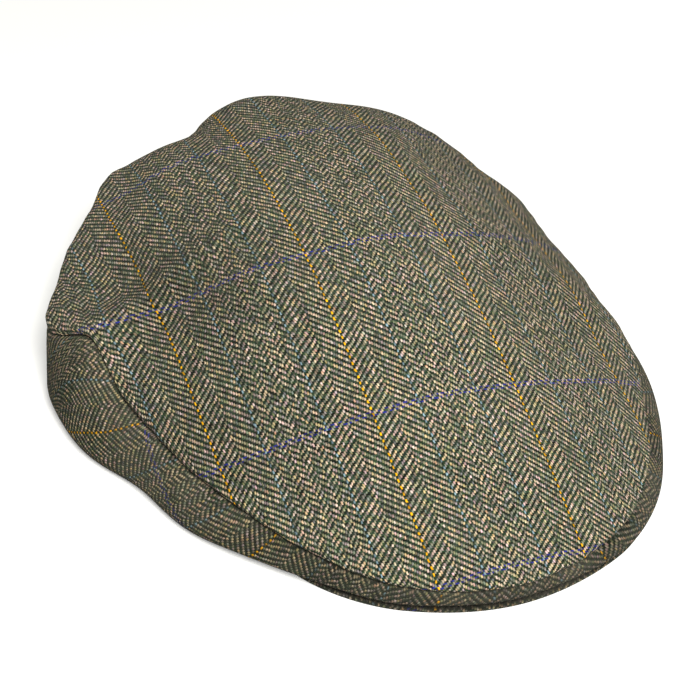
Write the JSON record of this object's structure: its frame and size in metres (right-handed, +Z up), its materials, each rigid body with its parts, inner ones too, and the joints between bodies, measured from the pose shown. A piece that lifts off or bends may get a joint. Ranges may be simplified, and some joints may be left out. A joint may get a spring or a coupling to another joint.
{
  "type": "tweed flat cap",
  "caption": "Flat cap in herringbone tweed with a yellow, blue and navy overcheck: a top panel, a side band all round and a short hidden peak.",
  "frame": {"origin": "middle of the cap's box, on the surface it lies on", "axes": "+Z up, -Y towards the wearer's front where the peak is, +X towards the wearer's left"},
  "size_m": [0.2355, 0.2865, 0.082],
  "materials": {
    "tweed": "rough woven wool"
  },
  "bodies": {
    "root": {"top_panel": "tweed", "side_band": "tweed", "peak": "tweed"}
  },
  "joints": []
}
